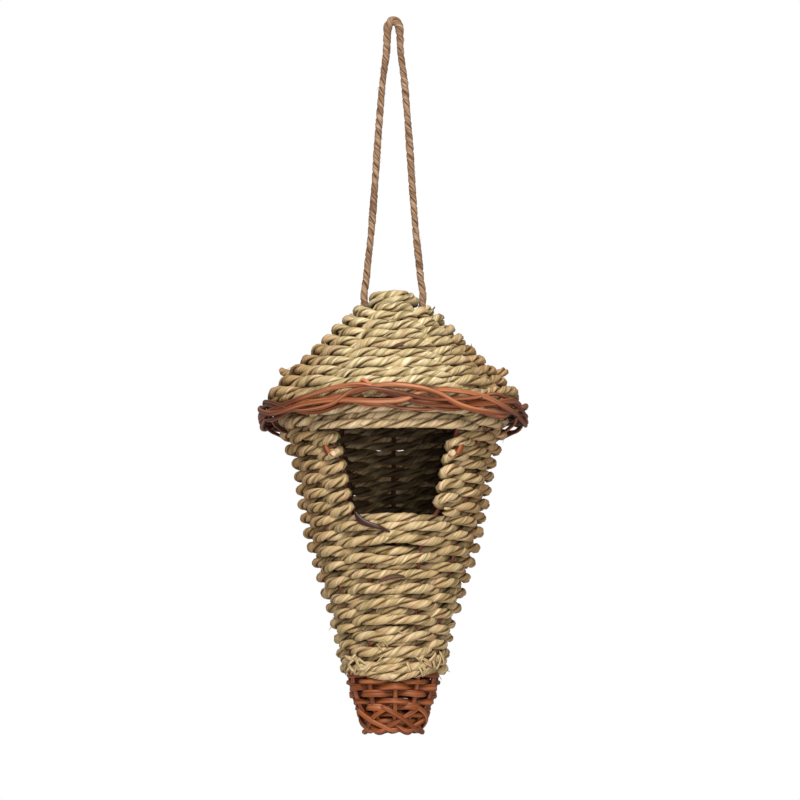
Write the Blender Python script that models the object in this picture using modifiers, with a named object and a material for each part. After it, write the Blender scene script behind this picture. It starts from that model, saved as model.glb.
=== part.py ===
"""Hanging bird nest: twisted seagrass cord woven on rattan stakes, a rattan base and brim, a rope loop.

The origin is at the inner apex of the rope loop, where the nest hangs. +Z is up and the doorway
faces -Y. Heights in the outlines below are measured up from the underside of the nest.
"""
import math

import bpy
import bmesh
from mathutils import Vector

# Driving dimensions, in metres
APEX_HEIGHT = 0.3715        # inner apex of the rope loop above the underside
CORD_WALL = 0.0100          # thickness of a cord weave: cord, stake and cord
BASE_WALL = 0.0060          # thickness of the finer rattan weave of the base
STAKE_DIAMETER = 0.0026
SPOKE_DIAMETER = 0.0024
STRAND_DIAMETER = 0.0024
ROPE_DIAMETER = 0.0036
CLEARANCE = 0.0003          # gap between touching pieces

BORDER_TOP = 0.0042         # the twisted border under the base
BORDER_RADIUS = 0.0125
BASE_TOP = 0.0307
BODY_TOP = 0.1716
ROOF_BOTTOM = 0.1719
ROOF_TOP = 0.2192
CROWN_TOP = 0.2300

# Outer surface of each weave as (height, radius), bottom to top
BASE_OUTLINE = [(0.0045, 0.0150), (0.0080, 0.0175), (0.0130, 0.0198), (0.0180, 0.0225),
                (0.0230, 0.0240), (BASE_TOP, 0.0240)]
BODY_OUTLINE = [(0.0310, 0.0262), (0.0400, 0.0292), (0.0580, 0.0323), (0.0790, 0.0394),
                (0.1000, 0.0457), (0.1210, 0.0500), (0.1390, 0.0527), (0.1550, 0.0594),
                (BODY_TOP, 0.0600)]
ROOF_CONE_SUM = 0.2420      # the roof slopes at 45 degrees: height + radius is the same all along it

# Doorway: a trapezium, wider at the top
DOOR_BOTTOM = 0.1096
DOOR_TOP = 0.1503
DOOR_HALF_WIDTH_BOTTOM = 0.0205
DOOR_HALF_WIDTH_TOP = 0.0277

# Course of each stake as (height, degrees from the front); the sides mirror each other
STAKE_FOOT = 0.0052
STAKE_TOP = 0.1708
BACK_STAKE = [(STAKE_FOOT, 180.0), (STAKE_TOP, 180.0)]
SIDE_STAKES = [
    [(STAKE_FOOT, 33.0), (0.0350, 33.0), (0.0700, 21.5), (0.0920, 21.0), (0.1050, 29.5),
     (0.1130, 34.5), (0.1250, 36.5), (0.1400, 38.5), (STAKE_TOP, 39.5)],
    [(STAKE_FOOT, 67.0), (0.0350, 67.0), (0.0700, 56.0), (0.0920, 55.5), (STAKE_TOP, 60.0)],
    [(STAKE_FOOT, 98.0), (0.0350, 98.0), (0.0800, 89.0), (STAKE_TOP, 90.0)],
    [(STAKE_FOOT, 127.0), (0.0350, 127.0), (0.0800, 120.0), (STAKE_TOP, 120.0)],
    [(STAKE_FOOT, 154.0), (0.0350, 154.0), (0.0800, 150.0), (STAKE_TOP, 150.0)],
]
# The front stake as (height, degrees, depth under the outer surface). It runs inside the body,
# comes out under the sill and lies bent over to the left, where it is cut off.
SILL_STAKE = [(STAKE_FOOT, 3.0, 0.0030), (0.0307, 3.0, 0.0030), (0.0400, 3.5, 0.0080),
              (0.0580, 4.0, 0.0103), (0.0790, 4.5, 0.0103), (0.0960, 4.0, 0.0103),
              (0.0992, 2.0, 0.0065), (0.1005, -3.5, 0.0025), (0.1020, -10.0, 0.0006),
              (0.1050, -17.5, 0.0006), (0.1092, -25.0, 0.0012)]

# Roof spokes as degrees in the crown's bundle, at the rope and at the brim; the sides mirror
# each other, and the spokes beside the rope bend round it
SPOKE_ANGLES = [(13.8, 14.0, 14.0), (41.5, 41.0, 41.0), (69.2, 69.0, 67.0), (97.0, 111.0, 92.0),
                (124.6, 134.0, 119.0), (152.3, 157.0, 148.0)]
# Course of a roof spoke as (radius, height, stage): stage 0 takes the first of its angles, 1 the
# second and 2 the third
SPOKE_COURSE = [(0.0068, 0.2280, 0.0), (0.0068, 0.2195, 0.0), (0.0080, 0.2172, 0.0),
                (0.0142, 0.2155, 1.0), (0.0215, 0.2122, 1.4), (0.0300, 0.2049, 2.0),
                (0.0612, 0.1737, 2.0)]

# Brim band: three strands that wind loosely about one ring
BAND_RADIUS = 0.0675
BAND_HEIGHT = 0.1674
BAND_SWING_OUT = 0.0016
BAND_SWING_UP = 0.0030
BAND_WAVES = 5
BAND_POINTS = 31
BAND_SPAN = 352.0           # degrees; each strand starts and ends behind the nest

HOOP_RADIUS = 0.0655        # the border's hoop, just under the band
HOOP_HEIGHT = 0.1606

# Rope: half of its course as (distance from the middle, height), from the knot to the apex
ROPE_COURSE = [(0.0048, 0.1990), (0.0100, 0.2010), (0.0138, 0.2050), (0.0147, 0.2105),
               (0.0147, 0.2155), (0.0148, 0.2205), (0.0153, 0.2276), (0.0142, 0.2355),
               (0.0133, 0.2450), (0.0118, 0.2590), (0.0105, 0.2752), (0.0094, 0.2911),
               (0.0084, 0.3071), (0.0072, 0.3231), (0.0059, 0.3392), (0.0047, 0.3490),
               (0.0037, 0.3570), (0.0034, 0.3650), (0.0027, 0.3713)]
ROPE_BEND_TOP = 0.3640      # points lie closer together above this and below the next
ROPE_BEND_FOOT = 0.2180
ROPE_HOLE = 0.0147
KNOT_HEIGHT = 0.1980


def clear_scene():
    """Start from an empty scene."""
    for obj in list(bpy.data.objects):
        bpy.data.objects.remove(obj, do_unlink=True)


def make_collection(name):
    """Add a collection to the scene."""
    collection = bpy.data.collections.new(name)
    bpy.context.scene.collection.children.link(collection)
    return collection


def make_material(name, colour, roughness):
    """A plain, non-metallic Principled material."""
    material = bpy.data.materials.new(name)
    material.use_nodes = True
    shader = material.node_tree.nodes["Principled BSDF"]
    shader.inputs["Base Color"].default_value = (*colour, 1.0)
    shader.inputs["Roughness"].default_value = roughness
    shader.inputs["Metallic"].default_value = 0.0
    return material


def interpolate(table, x):
    """The value at x on the straight lines through (x, value) pairs."""
    for (x0, y0), (x1, y1) in zip(table, table[1:]):
        if x <= x1:
            return y0 + (y1 - y0) * (x - x0) / (x1 - x0)
    return table[-1][1]


def on_circle(radius, degrees, height):
    """A point at an angle from the front (-Y), positive towards +X."""
    angle = math.radians(degrees)
    return Vector((radius * math.sin(angle), -radius * math.cos(angle), height))


def smooth_course(points, per_span):
    """Points on a Catmull-Rom curve through the given ones."""
    ends = [2 * points[0] - points[1]] + points + [2 * points[-1] - points[-2]]
    course = []
    for p0, p1, p2, p3 in zip(ends, ends[1:], ends[2:], ends[3:]):
        for step in range(per_span):
            t = step / per_span
            course.append(0.5 * ((2 * p1) + (p2 - p0) * t + (2 * p0 - 5 * p1 + 4 * p2 - p3) * t * t
                                 + (3 * p1 - p0 - 3 * p2 + p3) * t ** 3))
    course.append(points[-1])
    return course


class Nest:
    """The collections, the empty that carries every piece, and the ways of making one."""

    def __init__(self):
        self.parts = make_collection("hanging_bird_nest")
        self.cutters = make_collection("nest_cutters")
        self.datum = bpy.data.objects.new("nest_underside", None)
        self.datum.location = (0.0, 0.0, -APEX_HEIGHT)
        self.parts.objects.link(self.datum)
        self.seagrass = make_material("seagrass_cord", (0.46, 0.33, 0.17), 0.75)
        self.rattan = make_material("rattan", (0.33, 0.11, 0.045), 0.55)
        self.jute = make_material("jute_rope", (0.42, 0.26, 0.17), 0.85)

    def add(self, name, data, material):
        """A part object, carried by the empty at the nest's underside."""
        data.materials.clear()
        data.materials.append(material)
        obj = bpy.data.objects.new(name, data)
        obj.parent = self.datum
        self.parts.objects.link(obj)
        return obj

    def add_cutter(self, name, data):
        """A cutter object, carried like the parts and shown as wire."""
        obj = bpy.data.objects.new(name, data)
        obj.parent = self.datum
        obj.hide_render = True
        obj.display_type = "WIRE"
        self.cutters.objects.link(obj)
        return obj

    def turned(self, name, profile, segments, material):
        """A profile of (radius, height) points turned about Z; it closes itself off the axis."""
        mesh = bpy.data.meshes.new(name)
        bm = bmesh.new()
        verts = [bm.verts.new((radius, 0.0, height)) for radius, height in profile]
        for lower, upper in zip(verts, verts[1:]):
            bm.edges.new((lower, upper))
        if profile[0][0] > 0.0:
            bm.edges.new((verts[-1], verts[0]))
        bm.to_mesh(mesh)
        bm.free()
        obj = self.add(name, mesh, material)
        screw = obj.modifiers.new("turn", "SCREW")
        screw.steps = segments
        screw.render_steps = segments
        screw.use_merge_vertices = True
        screw.merge_threshold = 0.00001
        return obj

    def tube_curve(self, name, points, diameter, closed=False, round_steps=1):
        """Curve data for a round tube through the points."""
        curve = bpy.data.curves.new(name, "CURVE")
        curve.dimensions = "3D"
        curve.bevel_depth = diameter / 2
        curve.bevel_resolution = round_steps
        curve.use_fill_caps = True
        spline = curve.splines.new("POLY")
        spline.points.add(len(points) - 1)
        for slot, point in zip(spline.points, points):
            slot.co = (*point, 1.0)
        spline.use_cyclic_u = closed
        return curve

    def tube(self, name, points, diameter, material, closed=False, round_steps=1):
        """A round rod or cord through the points."""
        curve = self.tube_curve(name, points, diameter, closed, round_steps)
        return self.add(name, curve, material)

    def tunnel(self, name, points, diameter, round_steps=1):
        """A cutter for the space that a rod takes up, with its clearance."""
        lead_in = (points[0] - points[1]).normalized() * CLEARANCE
        lead_out = (points[-1] - points[-2]).normalized() * CLEARANCE
        longer = [points[0] + lead_in] + points[1:-1] + [points[-1] + lead_out]
        curve = self.tube_curve(name, longer, diameter + 2 * CLEARANCE, False, round_steps)
        source = bpy.data.objects.new(name, curve)
        self.cutters.objects.link(source)
        bpy.context.view_layer.update()
        evaluated = source.evaluated_get(bpy.context.evaluated_depsgraph_get())
        mesh = bpy.data.meshes.new_from_object(evaluated)
        bpy.data.objects.remove(source, do_unlink=True)
        bm = bmesh.new()
        bm.from_mesh(mesh)
        bmesh.ops.remove_doubles(bm, verts=bm.verts, dist=0.00001)
        bm.to_mesh(mesh)
        bm.free()
        return self.add_cutter(name, mesh)


def cut(target, cutter):
    """Take the cutter out of the target."""
    boolean = target.modifiers.new(cutter.name, "BOOLEAN")
    boolean.operation = "DIFFERENCE"
    boolean.solver = "EXACT"
    boolean.object = cutter


def stake_radius(height):
    """Radius of the middle of the wall: the base's weave below, the cord weave above."""
    base_middle = interpolate(BASE_OUTLINE, height) - BASE_WALL / 2
    body_middle = interpolate(BODY_OUTLINE, height) - CORD_WALL / 2
    if height <= BASE_OUTLINE[-2][0]:
        return base_middle
    if height >= BODY_OUTLINE[1][0]:
        return body_middle
    low, high = BASE_OUTLINE[-2][0], BODY_OUTLINE[1][0]
    blend = (height - low) / (high - low)
    start = interpolate(BASE_OUTLINE, low) - BASE_WALL / 2
    end = interpolate(BODY_OUTLINE, high) - CORD_WALL / 2
    return start + (end - start) * blend


def stake_points(course, side):
    """Points up one stake, at its own bends and at the bends of the wall."""
    bends = [height for height, _ in course]
    bends += [height for height, _ in BASE_OUTLINE[1:-1:2] + BODY_OUTLINE[1:-1]]
    heights = sorted({h for h in bends if course[0][0] <= h <= course[-1][0]})
    spaced = [heights[0]]
    for height in heights[1:-1]:
        if height - spaced[-1] > 0.006 and heights[-1] - height > 0.006:
            spaced.append(height)
    spaced.append(heights[-1])
    return [on_circle(stake_radius(h), side * interpolate(course, h), h) for h in spaced]


def sill_stake_points():
    """Points along the front stake, which changes its depth in the wall."""
    points = []
    for height, degrees, depth in SILL_STAKE:
        outline = BASE_OUTLINE if height <= BASE_TOP else BODY_OUTLINE
        points.append(on_circle(interpolate(outline, height) - depth, degrees, height))
    return points


def stake_courses():
    """Name and points of each of the twelve stakes."""
    courses = {"stake_01_cut_at_sill": sill_stake_points()}
    for number, course in enumerate(SIDE_STAKES):
        courses[f"stake_{2 * number + 2:02d}"] = stake_points(course, -1)
        courses[f"stake_{2 * number + 3:02d}"] = stake_points(course, 1)
    courses["stake_12"] = stake_points(BACK_STAKE, 1)
    return courses


def spoke_courses():
    """Name and points of each of the thirteen roof spokes."""
    sides = [[side * angle for angle in angles] for angles in SPOKE_ANGLES for side in (-1, 1)]
    courses = {}
    for number, angles in enumerate(sides + [[180.0] * 3]):
        stages = list(enumerate(angles))
        courses[f"roof_spoke_{number + 1:02d}"] = [
            on_circle(radius, interpolate(stages, stage), height)
            for radius, height, stage in SPOKE_COURSE]
    return courses


def rope_points():
    """The rope's centreline from one side of its knot, over the apex, to the other side."""
    left = [Vector((-x, 0.0, z)) for x, z in ROPE_COURSE]
    right = [Vector((x, 0.0, z)) for x, z in reversed(ROPE_COURSE)]
    apex = Vector((0.0, 0.0, APEX_HEIGHT + ROPE_DIAMETER / 2))
    course = smooth_course(left + [apex] + right, 4)
    middle = len(course) // 2
    half = [course[0]]
    for point in course[1:middle + 1]:
        bend = 1.2 if point.z > ROPE_BEND_TOP or point.z < ROPE_BEND_FOOT else 2.5
        if (point - half[-1]).length >= bend * ROPE_DIAMETER or point is course[middle]:
            half.append(point)
    return half + [Vector((-point.x, 0.0, point.z)) for point in reversed(half[:-1])]


def add_base(nest, stakes):
    """The fine rattan weave at the foot, and the twisted border that closes it."""
    inner = [(radius - BASE_WALL, height) for height, radius in BASE_OUTLINE[2:]]
    outer = [(radius, height) for height, radius in reversed(BASE_OUTLINE)]
    profile = [(0.0, 0.0100)] + inner + outer + [(0.0, BASE_OUTLINE[0][0])]
    base = nest.turned("base_weave", profile, 20, nest.rattan)
    for name, points in stakes.items():
        cut(base, nest.tunnel(f"{name}_in_base", points, STAKE_DIAMETER))
    border_height = BORDER_TOP / 2
    ring = [on_circle(BORDER_RADIUS, step * 24.0, border_height) for step in range(15)]
    nest.tube("bottom_border", ring, BORDER_TOP, nest.rattan, closed=True)


def add_body(nest, stakes):
    """The cord weave of the body with its doorway."""
    outer = [(radius, height) for height, radius in reversed(BODY_OUTLINE)]
    inner = [(radius - CORD_WALL, height) for height, radius in BODY_OUTLINE]
    body = nest.turned("body_weave", outer + inner, 26, nest.seagrass)
    cut(body, door_cutter(nest))
    for name, points in stakes.items():
        cut(body, nest.tunnel(f"{name}_in_body", points, STAKE_DIAMETER))


def door_cutter(nest):
    """A tapered block through the front wall."""
    front, back = -0.075, -0.025
    bm = bmesh.new()
    bmesh.ops.create_cube(bm, size=1.0)
    for vert in bm.verts:
        half_width = DOOR_HALF_WIDTH_TOP if vert.co.z > 0 else DOOR_HALF_WIDTH_BOTTOM
        vert.co.x = math.copysign(half_width, vert.co.x)
        vert.co.y = back if vert.co.y > 0 else front
        vert.co.z = DOOR_TOP if vert.co.z > 0 else DOOR_BOTTOM
    mesh = bpy.data.meshes.new("doorway")
    bm.to_mesh(mesh)
    bm.free()
    return nest.add_cutter("doorway", mesh)


def add_roof(nest, spokes):
    """The cord weave of the roof, and the coil that binds the spokes at its crown."""
    wall_down = CORD_WALL * math.sqrt(2.0)
    inner_sum = ROOF_CONE_SUM - wall_down
    crown_floor = 0.2104
    profile = [(ROOF_CONE_SUM - ROOF_TOP, ROOF_TOP), (ROOF_CONE_SUM - ROOF_BOTTOM, ROOF_BOTTOM),
               (inner_sum - ROOF_BOTTOM, ROOF_BOTTOM), (inner_sum - crown_floor, crown_floor),
               (0.0040, 0.2135), (0.0040, ROOF_TOP)]
    roof = nest.turned("roof_weave", profile, 24, nest.seagrass)
    for name, points in spokes.items():
        cut(roof, nest.tunnel(f"{name}_in_roof", points, SPOKE_DIAMETER))
    for side in (-1, 1):
        low = Vector((side * ROPE_HOLE, 0.0, 0.2000))
        high = Vector((side * ROPE_HOLE, 0.0, 0.2230))
        cut(roof, nest.tunnel(f"rope_hole_{side}", [low, (low + high) / 2, high], ROPE_DIAMETER, 2))
    coil_bottom = ROOF_TOP + CLEARANCE
    coil = [(0.0105, CROWN_TOP), (0.0125, CROWN_TOP - 0.0022), (0.0125, coil_bottom + 0.0022),
            (0.0105, coil_bottom), (0.0084, coil_bottom), (0.0084, CROWN_TOP)]
    nest.turned("crown_coil", coil, 20, nest.seagrass)


def band_strand(phase):
    """The centreline of one brim strand, winding about the band's ring."""
    points = []
    for step in range(BAND_POINTS):
        along = step / (BAND_POINTS - 1)
        turn = 2 * math.pi * BAND_WAVES * along * BAND_SPAN / 360.0 + phase
        radius = BAND_RADIUS + BAND_SWING_OUT * math.cos(turn)
        height = BAND_HEIGHT + BAND_SWING_UP * math.sin(turn)
        start = 180.0 + (360.0 - BAND_SPAN) / 2
        points.append(on_circle(radius, start + BAND_SPAN * along, height))
    return points


def add_brim(nest):
    """Three rattan strands round the brim and the hoop of the border below them."""
    for number in range(3):
        phase = 2 * math.pi * number / 3
        nest.tube(f"brim_strand_{number + 1}", band_strand(phase), STRAND_DIAMETER, nest.rattan)
    hoop = [on_circle(HOOP_RADIUS, step * 18.0, HOOP_HEIGHT) for step in range(20)]
    nest.tube("brim_border_hoop", hoop, STRAND_DIAMETER, nest.rattan, closed=True)


def add_rope(nest):
    """The hanging loop, and the knot inside the roof that joins its ends."""
    nest.tube("hanging_rope", rope_points(), ROPE_DIAMETER, nest.jute, round_steps=2)
    mesh = bpy.data.meshes.new("rope_knot")
    bm = bmesh.new()
    bmesh.ops.create_uvsphere(bm, u_segments=8, v_segments=6, radius=0.0040)
    for vert in bm.verts:
        vert.co.z += KNOT_HEIGHT
    bm.to_mesh(mesh)
    bm.free()
    nest.add("rope_knot", mesh, nest.jute)


def main():
    clear_scene()
    nest = Nest()
    stakes = stake_courses()
    spokes = spoke_courses()
    for name, points in stakes.items():
        nest.tube(name, points, STAKE_DIAMETER, nest.rattan)
    for name, points in spokes.items():
        nest.tube(name, points, SPOKE_DIAMETER, nest.rattan)
    add_base(nest, stakes)
    add_body(nest, stakes)
    add_roof(nest, spokes)
    add_brim(nest)
    add_rope(nest)


main()
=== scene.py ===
"""Looks of the hanging woven nest: every cord and rattan strand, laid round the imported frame."""
import math
import random

import bpy
import numpy as np
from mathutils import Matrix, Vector


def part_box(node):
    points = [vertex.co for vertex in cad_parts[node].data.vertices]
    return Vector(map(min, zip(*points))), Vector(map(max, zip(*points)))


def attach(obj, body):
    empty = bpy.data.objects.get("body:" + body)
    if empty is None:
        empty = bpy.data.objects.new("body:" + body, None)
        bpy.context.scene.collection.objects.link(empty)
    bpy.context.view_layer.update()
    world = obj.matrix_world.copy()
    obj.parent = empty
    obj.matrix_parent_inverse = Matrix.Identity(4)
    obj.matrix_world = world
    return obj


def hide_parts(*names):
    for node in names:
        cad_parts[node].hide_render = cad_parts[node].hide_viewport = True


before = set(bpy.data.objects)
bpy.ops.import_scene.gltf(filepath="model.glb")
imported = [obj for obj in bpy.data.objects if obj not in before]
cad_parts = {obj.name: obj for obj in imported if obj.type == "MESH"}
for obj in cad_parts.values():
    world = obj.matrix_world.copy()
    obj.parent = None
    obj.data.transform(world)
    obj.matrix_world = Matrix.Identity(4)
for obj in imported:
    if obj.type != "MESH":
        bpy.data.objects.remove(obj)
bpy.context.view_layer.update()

RNG = random.Random(11)
draw = RNG.uniform

# ---- driving values, in metres
CROWN_TOP = 0.23
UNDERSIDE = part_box("crown_coil")[1].z - CROWN_TOP  # heights below are measured up from here
CORD_DIAMETER = 0.005
CORD_PITCH = 0.0245  # length of one full twist of the cord's two plies
HALF_WALL = 0.005
STAKE_RADIUS = 0.0013
SPOKE_RADIUS = 0.0012
WEAVE_SWING = 0.0026  # how far a row swings out over a stake and in behind it
PLY_SIDES = 16
PLY_STEP = 0.0015

BODY_FIRST_ROW = 0.0338
SILL_ROW = 0.1075
BODY_ROW_COUNT = 20  # rows up to and including the sill
DOOR_FIRST_ROW = 0.1112
DOOR_LAST_ROW = 0.15
DOOR_ROW_COUNT = 12
LINTEL_ROWS = (0.154, 0.1577, 0.1615, 0.1654, 0.1692)
ROOF_ROW_COUNT = 17
ROOF_FIRST = (0.0178, 0.217)  # (radius, height) of the first roof row, in the mid wall
ROOF_LAST = (0.063, 0.1719)
ROOF_SUM = 0.2349  # radius + height of the middle of the roof's wall
BASE_ROWS = (0.0068, 0.03, 8)  # heights of the first and last row, and how many
DOUBLED_BASE_ROWS = (2, 4, 5)  # rows with a thinner strand above them
BASE_SWING = 0.002
STRAND_RADIUS = 0.0012
TAIL_CORD = 0.0044  # diameters of the other cords: over the base, behind the door, at the crown
DOOR_CORD = 0.0047
CROWN_CORD = 0.0052
PLY_OFFSET = 0.245  # a ply's middle from the cord's middle, and its two radii, times the diameter
PLY_DEEP = 0.262
PLY_WIDE = 0.4
ROPE_PITCH = 0.0115
WOBBLE_MODES = (2, 3, 5, 7)
BRIM_HEIGHT = 0.17
# share of the painted side shade that the whole body under the brim takes
BODY_SHADE = 0.45

TURN = 2 * np.pi
OUT = (1.0, 0.0)  # normals of a wall, as (out, up)
ROOF_NORMAL = (math.sqrt(0.5), math.sqrt(0.5))
FLAT = np.array([1.0, 1.0, 0.0])  # times a point, leaves its horizontal part
TO_FRONT = np.array([0.0, -1.0, 0.0])
DOWN = np.array([0.0, 0.0, -1.0])

# Brim strands: each one's own radius in metres, then its course as (azimuth in degrees, height and
# distance from the nest's axis in millimetres), from the back round the left side to the front and on
BRIM_STRANDS = [
    (0.00122, [
        (-178, 168, 68.5), (-150, 164, 66.5), (-122, 170, 68.8), (-100, 168, 67),
        (-82, 163.5, 69.2), (-62, 165, 68.4), (-42, 167.5, 69), (-24, 171, 69.2),
        (-12, 171.4, 68.4), (-1, 167.2, 67.2), (10, 163.4, 66), (26, 162.6, 66.6),
        (44, 165, 68.6), (62, 169, 69), (84, 167, 67), (108, 163.6, 69),
        (132, 169.6, 67), (156, 164, 69), (177, 167.6, 67.4)]),
    (0.0013, [
        (-176, 164, 66.5), (-148, 170, 69), (-120, 164, 67), (-96, 164.6, 69.4),
        (-74, 169, 67), (-54, 163.4, 67.8), (-36, 164.6, 68.6), (-20, 167.4, 67.2),
        (-6, 171, 68.6), (6, 170.8, 69.3), (18, 168, 69.3), (29, 162.4, 69.2),
        (42, 160.9, 68.4), (60, 163, 67), (80, 169.4, 69.2), (104, 169.4, 67),
        (130, 163.4, 68.6), (154, 170.4, 67), (178, 165.6, 68.6)]),
    (0.00125, [
        (-177, 171, 67), (-150, 168, 69.2), (-124, 163.4, 69.2), (-98, 170.6, 68.6),
        (-78, 166.4, 69.4), (-60, 162.6, 69), (-40, 164.2, 69.4), (-24, 164.6, 69),
        (-6, 163, 69.3), (4, 164, 68.8), (12, 168.2, 67.6), (24, 169.8, 68.2),
        (40, 168.4, 69.2), (56, 164.4, 69.2), (78, 163.2, 67.2), (100, 167.4, 69.4),
        (126, 170.4, 68.8), (152, 166.4, 69.2), (176, 170, 67)]),
    (0.0009, [
        (-170, 166, 69.4), (-140, 171.6, 67.4), (-112, 166.4, 69.6), (-86, 171.4, 67),
        (-64, 168.8, 69.2), (-44, 162, 68.4), (-27, 162.4, 69.6), (-17, 168.8, 69.6),
        (-8, 169.4, 69.8), (4, 167, 69.7), (16, 164.6, 69.8), (34, 166.6, 69.8),
        (50, 170.6, 68.6), (70, 165.8, 69.6), (90, 161.8, 68.6), (114, 168.4, 69.6),
        (140, 171.2, 67.4), (166, 165.4, 69.4)]),
]

# One more strand under the band, in the same terms
UNDER_STRAND = [
    (-174, 161, 67.4), (-146, 163.6, 66), (-118, 160.4, 68), (-92, 161.4, 69),
    (-66, 164.4, 65), (-46, 166, 63), (-26, 166.4, 61.6), (-12, 164.6, 61.8),
    (-2, 161.6, 63.4), (8, 159.8, 64.4), (18, 160.4, 64), (30, 164, 62.4),
    (46, 166, 62.6), (66, 164.4, 65), (90, 160.8, 69), (116, 163.4, 66.6),
    (142, 160.2, 68), (168, 162.4, 66.4)]

# Front stake, from the foot up: height in millimetres, azimuth in degrees, distance in millimetres
SILL_COURSE = [
    (5.2, 3, 12.6), (15, 3, 18), (30.7, 3, 21), (40, 3.5, 21.2),
    (58, 4, 22), (79, 4.5, 29.1), (94, 4, 34), (98.6, 1, 40),
    (101.2, -4.8, 43.6), (102.6, -9, 45.9), (103.9, -14.7, 46.7), (105.7, -19.4, 47.1),
    (108.2, -22.4, 47.2), (110.9, -23.8, 46.8)]

# Rope: half of its course as (distance from the middle, height) in metres, from the knot up
ROPE_DIAMETER = 0.0036
ROPE_COURSE = [
    (0.0048, 0.199), (0.01, 0.201), (0.0138, 0.205), (0.0147, 0.2105),
    (0.0147, 0.2155), (0.0148, 0.2205), (0.0153, 0.2276), (0.0142, 0.2355),
    (0.0133, 0.245), (0.0118, 0.259), (0.0105, 0.2752), (0.0094, 0.2911),
    (0.0084, 0.3071), (0.0072, 0.3231), (0.0059, 0.3392), (0.0047, 0.349),
    (0.0037, 0.357), (0.0034, 0.365), (0.0027, 0.3713)]
ROPE_APEX = 0.3738
ROPE_TAIL = ((0.001, 0.0, 0.197), (0.003, -0.001, 0.193), (0.0046, -0.0015, 0.188),
             (0.005, -0.0012, 0.1835))  # the loose end under the knot, as (x, y, height)
KNOT_HEIGHT = 0.198


def world_z(height):
    """Row-frame Z of a height above the nest's underside."""
    return UNDERSIDE + height


def polar(radius, degrees, height):
    """Points at an angle from the front (-Y), positive towards +X; takes numbers, lists or arrays."""
    angle = np.radians(degrees)
    radius, height = np.asarray(radius, float), np.asarray(height, float)
    x, y, z = np.broadcast_arrays(radius * np.sin(angle), -radius * np.cos(angle), world_z(height))
    return np.stack([x, y, z], axis=-1).astype(float)


# ---- what the frame says
def ring_centres(node, key, gap):
    """Centres of the rings of a CAD rod's mesh, in the order of the key."""
    verts = np.array([vert.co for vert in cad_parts[node].data.vertices], float)
    order = key(verts)
    index = np.argsort(order)
    verts, order = verts[index], order[index]
    breaks = np.where(np.diff(order) > gap)[0] + 1
    return np.array([(ring.min(axis=0) + ring.max(axis=0)) / 2 for ring in np.split(verts, breaks)])


def stake_line(node):
    """Centreline of a stake, foot first."""
    return ring_centres(node, lambda v: v[:, 2], 0.0025)


def spoke_line(node):
    """Centreline of a roof spoke, brim end first."""
    return ring_centres(node, lambda v: v[:, 2] - np.hypot(v[:, 0], v[:, 1]), 0.0013)


def azimuth(points):
    """Degrees from the front of each point."""
    return np.degrees(np.arctan2(points[:, 0], -points[:, 1]))


STAKES = sorted(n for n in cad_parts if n.startswith("stake_") and "cut" not in n)
SPOKES = sorted(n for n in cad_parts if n.startswith("roof_spoke_"))
STAKE_LINES = {name: stake_line(name) for name in STAKES}
SPOKE_LINES = {name: spoke_line(name) for name in SPOKES}
WALL_LINE = STAKE_LINES["stake_12"]
# Even rows pass outside the stakes marked 1 and inside the others, and odd rows the other way
STAKE_SIGNS = {2: 1, 3: 1, 4: -1, 5: -1, 6: 1, 7: 1, 8: -1, 9: -1, 10: 1, 11: 1, 12: -1}


def wall_radius(height):
    """Radius of the middle of the wall at a height."""
    return np.interp(world_z(height), WALL_LINE[:, 2], np.hypot(WALL_LINE[:, 0], WALL_LINE[:, 1]))


def posts_at(height):
    """Azimuths and signs of the eleven long stakes at a height, in order round the nest."""
    posts = []
    for name, line in STAKE_LINES.items():
        angles = azimuth(line)
        if name == "stake_12":
            angles = np.abs(angles)
        angle = float(np.interp(world_z(height), line[:, 2], angles))
        posts.append((angle, STAKE_SIGNS[int(name[-2:])]))
    return sorted(posts)


def spoke_posts(radius):
    """Azimuths and signs of the roof spokes at a radius, in order round the nest."""
    posts = []
    for name, line in SPOKE_LINES.items():
        number = int(name[-2:])
        across = np.hypot(line[:, 0], line[:, 1])
        order = np.argsort(across)
        angles = np.abs(azimuth(line))[order]
        angle = float(np.interp(radius, across[order], angles))
        pair = (number - 1) // 2
        side = -1 if number % 2 else 1
        if pair == 6:
            side, angle = 1, 180.0
        posts.append((side * angle, 1 if pair % 2 == 0 else -1))
    return sorted(posts)


def swing(angles, posts):
    """+1 outside a post, -1 inside it, and a smooth crossing between posts of unlike sign."""
    places = [posts[-1][0] - 360.0] + [p for p, _ in posts] + [posts[0][0] + 360.0]
    signs = [posts[-1][1]] + [s for _, s in posts] + [posts[0][1]]
    places, signs = np.array(places), np.array(signs, float)
    span = np.clip(np.searchsorted(places, angles, side="right") - 1, 0, len(places) - 2)
    gap = places[span + 1] - places[span]
    t = (angles - places[span]) / gap
    ease = (1 - np.cos(np.pi * t)) / 2
    wave = signs[span] + (signs[span + 1] - signs[span]) * ease
    slack = np.where(signs[span] == signs[span + 1], np.clip(gap / 48.0, 0.0, 0.92), 0.0)
    return wave * (1 - slack * np.sin(np.pi * t) ** 2)


# ---- mesh building
ROWS = []  # (line, outward) of each seagrass cord that is laid


def limited(values):
    """Values held between 0 and 1."""
    return np.clip(values, 0.0, 1.0)


def unit(vectors):
    """Vectors scaled to length one."""
    return vectors / np.maximum(np.linalg.norm(vectors, axis=-1, keepdims=True), 1e-12)


def tangents(line, closed):
    """Direction of a line at each of its points."""
    if closed:
        return unit(np.roll(line, -1, axis=0) - np.roll(line, 1, axis=0))
    return unit(np.gradient(line, axis=0))


def squared(outward, direction):
    """Outward directions turned square to the line."""
    return unit(outward - direction * np.sum(outward * direction, axis=1, keepdims=True))


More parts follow.
